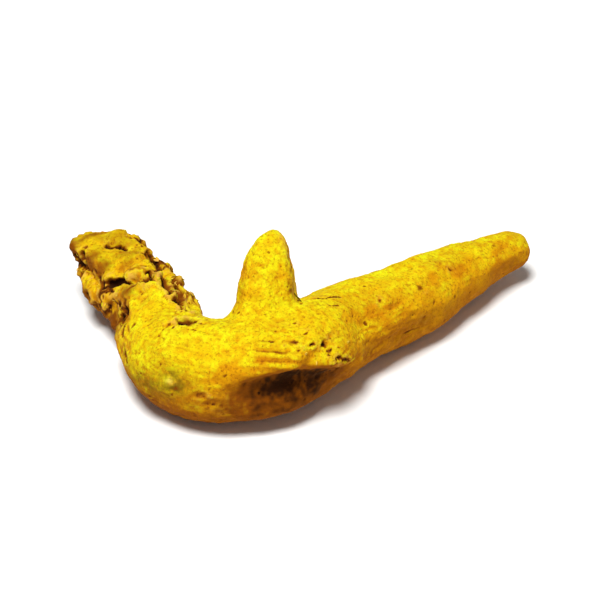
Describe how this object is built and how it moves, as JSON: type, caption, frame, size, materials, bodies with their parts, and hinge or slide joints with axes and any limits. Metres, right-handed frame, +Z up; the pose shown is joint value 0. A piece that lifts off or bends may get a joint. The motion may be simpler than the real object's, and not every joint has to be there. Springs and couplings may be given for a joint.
{
  "type": "turmeric root",
  "caption": "Dried turmeric rhizome lying on its side: a gnarled stub bent into a long tapering finger, with a short pointed side shoot.",
  "frame": {"origin": "middle of the footprint's bounding box, on the surface that the root lies on", "axes": "+X from the knuckle's side towards the finger's tip, +Y from the knuckle towards the two free ends, +Z up"},
  "size_m": [0.067, 0.0436, 0.0222],
  "materials": {
    "turmeric_skin": "matt, dusty dried skin"
  },
  "bodies": {
    "root": {"turmeric_root": "turmeric_skin"}
  },
  "joints": []
}
